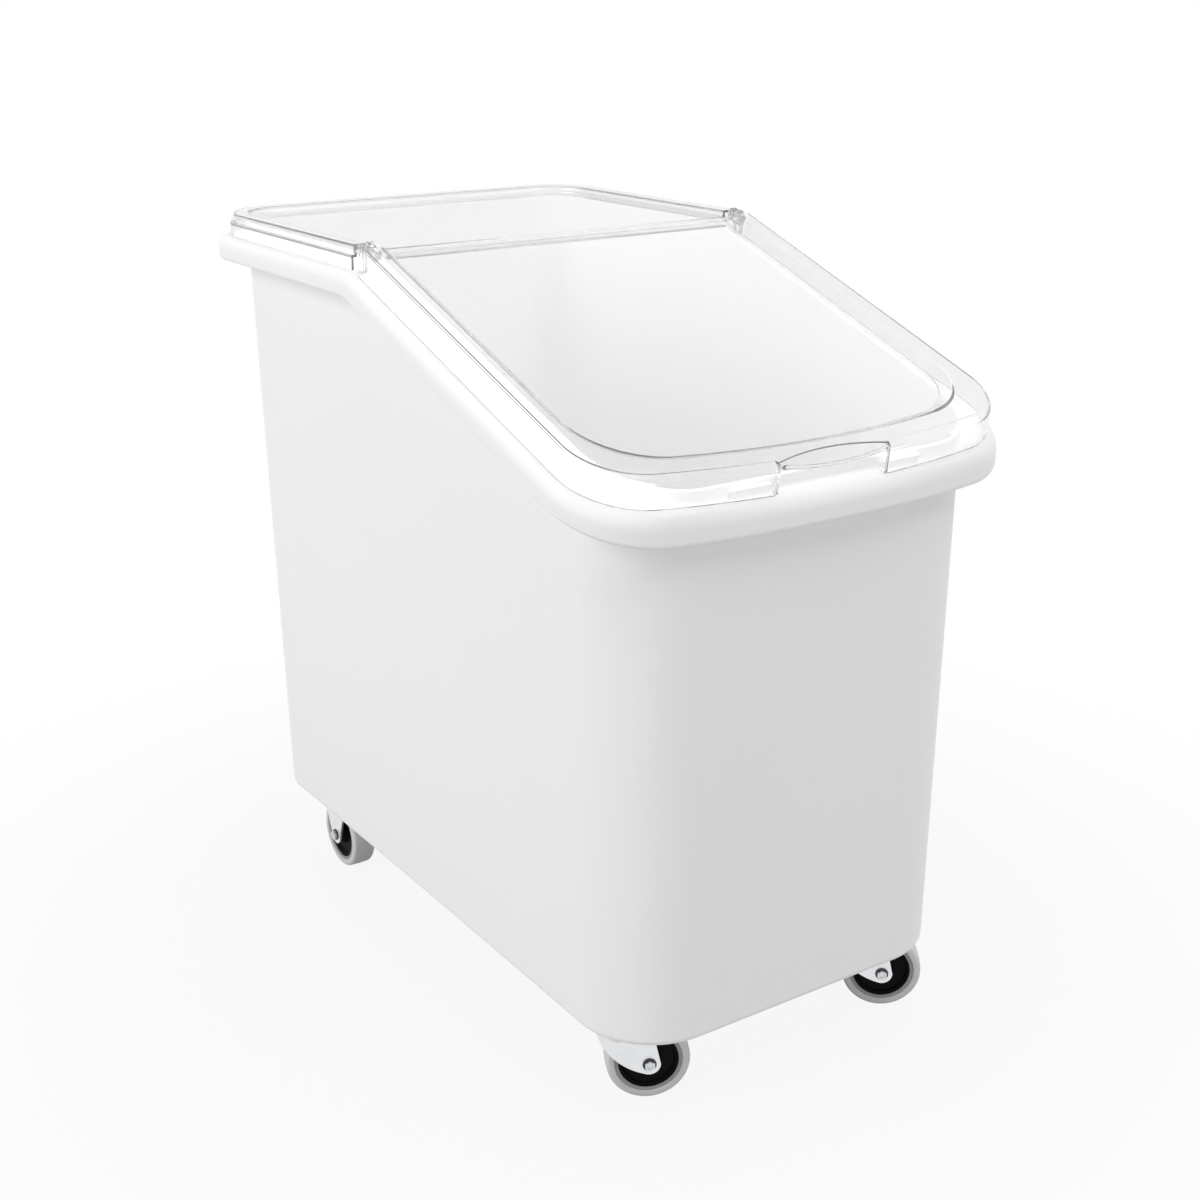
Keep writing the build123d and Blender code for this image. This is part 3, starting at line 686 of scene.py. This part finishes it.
def front_lid_sheet():
    """Front lid as one folded sheet of even thickness: panel, sloped recess, border, crest and skirt,
    and back along the inside. In the notch the skirt ends high in a lip that hangs lowest at its
    middle, and the crest opens into a lens-shaped facet."""
    inside, middle, crown = notch_shape()
    foot = inside * (LIP_HEIGHT - LIP_HANG * middle)
    cut = CREST_CUT + CROWN_CUT * crown
    fall = cut + inside * (FACET_FALL[0] + FACET_FALL[1] * middle)
    reach = cut + inside * (FACET_REACH[0] + FACET_REACH[1] * middle)
    slant = np.hypot(fall, reach)
    inner_height = CREST - fall - SHEET * reach / slant
    inner_inset = SHEET * fall / slant
    ceiling = CREST - SHEET
    inner_low = np.minimum(inner_height + (SHEET - inner_inset) * fall / reach, ceiling - LEAST_GAP)
    inner_far = np.maximum(inner_inset + (ceiling - inner_height) * reach / fall, SHEET + LEAST_GAP)
    low = CREST - RECESS_DEPTH
    panel, under = panel_row(0, 0, low), panel_row(0, SHEET, low - SHEET)
    crest_round = (CREST_ROUND + CROWN_ROUND * crown)[:, None]
    hollow_round = (HOLLOW_ROUND + CROWN_HOLLOW * crown)[:, None]
    inner = (
        (panel, PANEL_ROUND),
        (panel_row(RECESS_RUN, 0, CREST), BORDER_ROUND),
        (front_lid_row(reach, np.full(LID_COUNT, CREST)), crest_round),
        (front_lid_row(0, CREST - fall), crest_round),
        (front_lid_row(0, foot), FOOT_ROUND),
        (front_lid_row(SHEET, foot), FOOT_ROUND),
        (front_lid_row(SHEET, inner_low), hollow_round),
        (front_lid_row(inner_far, np.full(LID_COUNT, ceiling)), hollow_round),
        (panel_row(RECESS_RUN, SHEET, ceiling), INNER_BORDER_ROUND),
        (under, UNDER_ROUND),
    )
    rows, rounds = zip(*inner)
    rows = np.array([to_spine(panel), *rows, to_spine(under)])
    return rounded_ends(both_sides(soften(rows, rounds)), (0, 1, 0))


def grip_bead():
    """Thick edge along the lip of the notch: a round section carried along the lip, drawn in to a point
    at both ends."""
    middle = notch_shape()[1]
    lip = front_lid_row(GRIP_INSET, LIP_HEIGHT + GRIP_RISE - LIP_HANG * middle)[:len(NOTCH_SAMPLES)]
    path = np.concatenate([lip[:0:-1] * (-1, 1, 1), lip])
    along = np.gradient(path, axis=0)
    along /= np.linalg.norm(along, axis=1, keepdims=True)
    out = np.cross(along, (0, 0, 1.0))
    out /= np.linalg.norm(out, axis=1, keepdims=True)
    up = np.cross(out, along)
    angle = np.linspace(0, 2 * pi, GRIP_SIDES, endpoint=False)[None, :, None]
    taper = np.sqrt(np.clip(1 - np.linspace(-1, 1, len(path)) ** GRIP_TAPER, 0, 1))[:, None, None]
    section = np.cos(angle) * out[:, None] + np.sin(angle) * up[:, None]
    return on_slope(path[:, None] + GRIP_RADIUS * taper * section)


def notch_cheek(side):
    """Wall that turns in from the skirt at one end of the notch: an upright plate that leans as the
    skirt does."""
    cheek = slab(rounded_rectangle(SHEET, CHEEK_LENGTH, CHEEK_CORNER), CHEEK_LOW, CHEEK_TOP, CHEEK_EDGE)
    across = NOTCH_HALF - CHEEK_INSET
    cheek = cheek + (side * across, LID_FRONT + across ** 2 / (2 * FRONT_CIRCLE) + CHEEK_BACK, 0)
    cheek[..., 1] += FRONT_LEAN * cheek[..., 2] / CREST
    return on_slope(cheek)


def hinge_pin(side):
    """Moulded hinge pin with its thicker lug: points of radius and length carried round the hinge. An
    arm joins the lug to the lid's border."""
    points = ((0, LUG_START), (LUG_RADIUS, LUG_START), (LUG_RADIUS, LUG_END), (PIN_RADIUS, LUG_END),
              (PIN_RADIUS, PIN_END), (0, PIN_END))
    spun = turned(points, PIN_ROUNDS, count=32)
    pin = np.stack([side * spun[..., 2], HINGE_Y + spun[..., 0], HINGE_Z + spun[..., 1]], -1)
    outline = rounded_rectangle(LUG_END - LUG_START, ARM_LENGTH, ARM_EDGE)
    arm = slab(outline, HINGE_W - ARM_DEPTH, ARM_TOP, ARM_EDGE)
    return pin, on_slope(arm + (side * (LUG_START + LUG_END) / 2, HINGE_V - HINGE_GAP, 0))


front_sheet = on_slope(front_lid_sheet())
make_piece(
    "front_lid_moulding",
    [(grid, False) for grid in (front_sheet, *end_caps(front_sheet))] + [(grip_bead(), True)]
    + [(grid, True) for side in (-1, 1) for grid in (*hinge_pin(side), notch_cheek(side))],
    finishes["lid_clear"], "front_lid", ["front_lid"],
)


# Casters

# Right half of the tyre's section from its seat to its shoulder: radius, distance from the middle of the
# wheel and rounding
TYRE_SECTION = ((33, 0.5, 0), (27, 11.3, 0.2), (30.2, 11.3, 0.3), (30.6, 12.5, 0.5), (37, 12.5, 6))
TYRE_SEAT, TREAD_ROUND, WHEEL_SIDES = 33, 60, 96

# Sections of the bead band, the bolt's head and shank and the washer: radius and place along the axle
BEAD_SECTION = ((28.6, 10.8), (26.9, 10.8), (26.9, 11.5), (30.1, 11.6), (30.1, 10.8), (28.6, 10.8))
BEAD_ROUNDS = (0, 0.2, 0.3, 0)
HEAD_SECTION = ((0, -17.9), (9, -17.9), (9, -20.4), (4.9, -21.1), (4.2, -21.5), (2.4, -21.5), (1.9, -20.6),
                (0, -20.3))
HEAD_FLATS, HEAD_SHARP = 8.6, 30.0
SHANK_SECTION, SHANK_ROUNDS = ((0, -17.8), (3, -17.8), (3, 24.5), (0, 24.5)), (0.1, 0.6)
WASHER_SECTION = ((2.9, -17.4), (6.2, -17.4), (6.2, -18.5), (2.9, -18.5), (2.9, -17.4))
WASHER_ROUNDS = (0.2, 0.5, 0.1)


def on_axle(points, corner):
    """Points turned round an upright axis, laid over on a wheel's axle: their height runs along the
    axle, away from the bolt's head."""
    turn = radians(WHEEL_TURNS[corner])
    reach = TRAIL if corner.startswith("front") else 0.0
    ahead = np.array([cos(turn), sin(turn), 0])
    along = np.array([-sin(turn), cos(turn), 0])
    middle = np.array([*CASTER_PLACES[corner], WHEEL_RADIUS]) + reach * ahead
    return middle + points[..., :1] * ahead + points[..., 1:2] * (0, 0, 1) + points[..., 2:] * along


def tyre_ring():
    """Tread: a crown with round shoulders, and a lip that steps in to the core, the same on both sides,
    carried round the wheel."""
    right = np.array(TYRE_SECTION)
    left = right[::-1] * (1, -1, 1)
    seat, crown = (TYRE_SEAT, 0, 0), (WHEEL_RADIUS, 0, TREAD_ROUND)
    section = np.concatenate([[seat], right, [crown], left, [seat]])
    return turned(section[:, :2], section[1:-1, 2], WHEEL_SIDES, steps=5)


def bead_ring(side):
    """Band between the tread and the core, lying in the tyre's stepped lip, darker as painted shade for
    that groove.
    """
    return turned([(radius, side * place) for radius, place in BEAD_SECTION], BEAD_ROUNDS, WHEEL_SIDES)


def axle_bolt():
    """Hexagon bolt: a chamfered hexagon head with a shallow dish in its end, and a turned shank."""
    return hexagonal(HEAD_SECTION, HEAD_FLATS), turned(SHANK_SECTION, SHANK_ROUNDS, count=32)


def axle_washer():
    """Washer under the bolt's head, its dark tone painted shade for the gap round the bolt: a turned ring
    with a rounded outer edge.
    """
    return turned(WASHER_SECTION, WASHER_ROUNDS)


for corner in CASTER_PLACES:
    wheel = corner + "_wheel"
    carrier = corner + "_swivel" if corner.startswith("front") else "bin"
    tread = [(on_axle(tyre_ring(), corner), True)]
    beads = [(on_axle(bead_ring(side), corner), True) for side in (-1, 1)]
    bolt = [(on_axle(grid, corner), True) for grid in axle_bolt()]
    washer = [(on_axle(axle_washer(), corner), True)]
    make_piece(corner + "_tread", tread, finishes["tyre_grey"], wheel, [corner + "_tyre"])
    make_piece(corner + "_bead", beads, finishes["bead_painted_shade"], wheel)
    make_piece(corner + "_bolt", bolt, finishes["bolt_steel"], carrier,
               [corner + "_axle_bolt"], HEAD_SHARP)
    make_piece(corner + "_washer", washer, finishes["dark_steel_and_shade"], carrier)


# Solids

# Metres within which points are welded, angle up to which faces count as flat, and the bevel
WELDED, FLAT_ANGLE = 1e-6, radians(0.5)
BEVEL_WIDTH, BEVEL_STEPS, BEVEL_ANGLE = 0.4, 2, radians(35)


def soften_edges(node):
    """Edges of a solid, rounded by live modifiers: equal points welded, flat faces joined, then a narrow
    bevel and even shading."""
    node.modifiers.new("weld", "WELD").merge_threshold = WELDED
    flat = node.modifiers.new("flat", "DECIMATE")
    flat.decimate_type = "DISSOLVE"
    flat.angle_limit = FLAT_ANGLE
    edge = node.modifiers.new("edge", "BEVEL")
    edge.width = BEVEL_WIDTH * MM
    edge.segments = BEVEL_STEPS
    edge.limit_method = "ANGLE"
    edge.angle_limit = BEVEL_ANGLE
    node.modifiers.new("even_shading", "WEIGHTED_NORMAL").keep_sharp = True


# Every solid gets its slot's finish and soft edges, also those that a piece replaces
for part in frame["record"]["subparts"]:
    node = frame["nodes"][part["node"]]
    for place in node.material_slots:
        place.material = finishes[part["material_slot"]]
    soften_edges(node)


# Studio, in metres

# Floor: half its side, its tone, and the share of white seen near the bin and far from it
STAGE_HALF, STAGE_TONE, STAGE_ROUGH = 40.0, 0.5, 0.9
NEAR, FAR, WHITE_NEAR, WHITE_FAR = 0.3, 1.0, 0.9, 1.0
WORLD_LEVEL = 0.43

# Lamps: name, place, size, power, and whether it shows through the clear lids. Their upper edges keep to
# a direction that is nearly up, so that one straight overhead has a right side too.
LAMP_TARGET, NEARLY_UP = (0, 0, 0.4), (0, 0.01, 1)
LAMPS = (
    ("key_soft_box", (0.1, -1.5, 3.0), 1.6, 16, True),
    ("key_fill_box", (0.1, -1.5, 3.0), 1.6, 14, False),
    ("left_soft_box", (-3.0, 0.4, 1.75), 2.0, 50, True),
    ("front_soft_box", (0.6, -3.0, 0.9), 2.0, 12, True),
    ("right_soft_box", (2.8, 0.4, 0.8), 2.0, 13, False),
    ("rear_soft_box", (0.3, 2.9, 0.7), 1.6, 12, False),
)

# Camera as fitted to the photograph: place, turns in degrees, and focal length in the picture's pixels
CAMERA_PLACE = (-0.874226, -1.344174, 0.925634)
CAMERA_YAW, CAMERA_PITCH, CAMERA_ROLL = -33.571, -19.403, -0.354
FOCAL_PIXELS, PICTURE_PIXELS, SENSOR_WIDTH = 1752.779, 1200, 36.0


def whitened(tree, shader, white, strength):
    """Shader that shows as white to the camera, in gloss and through glass, to the given strength."""
    path = add(tree, "ShaderNodeLightPath").outputs
    seen = worked_out(tree, "MAXIMUM", path["Is Camera Ray"], path["Is Glossy Ray"])
    seen = worked_out(tree, "MAXIMUM", seen, path["Is Transmission Ray"])
    share = worked_out(tree, "MULTIPLY", seen, strength)
    return add(tree, "ShaderNodeMixShader", i0=share, i1=shader, i2=white).outputs[0]


def make_floor():
    """Wide pale floor that shows white but keeps the object's shadow."""
    finish, tree, shader = new_finish("pale_floor")
    shader.inputs["Base Color"].default_value = (STAGE_TONE, STAGE_TONE, STAGE_TONE, 1)
    shader.inputs["Roughness"].default_value = STAGE_ROUGH
    white = add(tree, "ShaderNodeEmission", Color=(1, 1, 1, 1), Strength=1.0).outputs[0]
    place = add(tree, "ShaderNodeTexCoord").outputs["Object"]
    away = add(tree, "ShaderNodeVectorMath", {"operation": "LENGTH"}, i0=place).outputs["Value"]
    share = add(tree, "ShaderNodeMapRange", {"interpolation_type": "SMOOTHSTEP"}, Value=away,
                From_Min=NEAR, From_Max=FAR, To_Min=WHITE_NEAR, To_Max=WHITE_FAR).outputs[0]
    shown = whitened(tree, shader.outputs[0], white, share)
    tree.links.new(shown, tree.nodes["Material Output"].inputs["Surface"])
    corners = [(x * STAGE_HALF, y * STAGE_HALF, 0) for x, y in ((-1, -1), (1, -1), (1, 1), (-1, 1))]
    mesh = bpy.data.meshes.new("floor")
    mesh.from_pydata(corners, [], [(0, 1, 2, 3)])
    mesh.materials.append(finish)
    floor = bpy.data.objects.new("floor", mesh)
    bpy.context.scene.collection.objects.link(floor)


def make_world():
    """Even light all round, seen as white."""
    world = bpy.data.worlds.new("studio")
    world.use_nodes = True
    tree = world.node_tree
    light = tree.nodes["Background"]
    light.inputs["Color"].default_value = (1, 1, 1, 1)
    light.inputs["Strength"].default_value = WORLD_LEVEL
    white = add(tree, "ShaderNodeBackground", Color=(1, 1, 1, 1), Strength=1.0).outputs[0]
    shown = whitened(tree, light.outputs[0], white, 1.0)
    tree.links.new(shown, tree.nodes["World Output"].inputs["Surface"])
    bpy.context.scene.world = world


def look(place, right, up, ahead):
    """Matrix of a lamp or camera at a place from its three directions."""
    matrix = np.eye(4)
    matrix[:3] = np.stack([right, up, -np.asarray(ahead), place], -1)
    return Matrix(matrix.tolist())


def add_lamp(name, place, size, power, seen):
    """Square soft lamp that faces the bin. It doesn't show in gloss, and one that isn't seen doesn't show
    through the clear lids either."""
    data = bpy.data.lights.new(name, "AREA")
    data.shape = "SQUARE"
    data.size = size
    data.energy = power
    lamp = bpy.data.objects.new(name, data)
    ahead = np.subtract(LAMP_TARGET, place)
    ahead /= np.linalg.norm(ahead)
    right = np.cross(ahead, NEARLY_UP)
    right /= np.linalg.norm(right)
    lamp.matrix_world = look(place, right, np.cross(right, ahead), ahead)
    lamp.visible_glossy = False
    lamp.visible_camera = lamp.visible_transmission = seen
    bpy.context.scene.collection.objects.link(lamp)


def make_camera():
    """Camera at the photograph's place, turned by its yaw, pitch and slight roll."""
    yaw, pitch, roll = np.radians((CAMERA_YAW, CAMERA_PITCH, CAMERA_ROLL))
    ahead = np.array([-sin(yaw) * cos(pitch), cos(yaw) * cos(pitch), sin(pitch)])
    right = np.cross(ahead, (0, 0, 1))
    right /= np.linalg.norm(right)
    up = np.cross(right, ahead)
    right, up = right * cos(roll) + up * sin(roll), up * cos(roll) - right * sin(roll)
    data = bpy.data.cameras.new("camera")
    data.sensor_width = SENSOR_WIDTH
    data.lens = FOCAL_PIXELS / PICTURE_PIXELS * SENSOR_WIDTH
    camera = bpy.data.objects.new("camera", data)
    camera.matrix_world = look(CAMERA_PLACE, right, up, ahead)
    bpy.context.scene.collection.objects.link(camera)
    bpy.context.scene.camera = camera


make_floor()
make_world()
for lamp in LAMPS:
    add_lamp(*lamp)
make_camera()
bpy.context.scene.view_settings.view_transform = "Standard"
bpy.context.scene.cycles.diffuse_bounces = 10
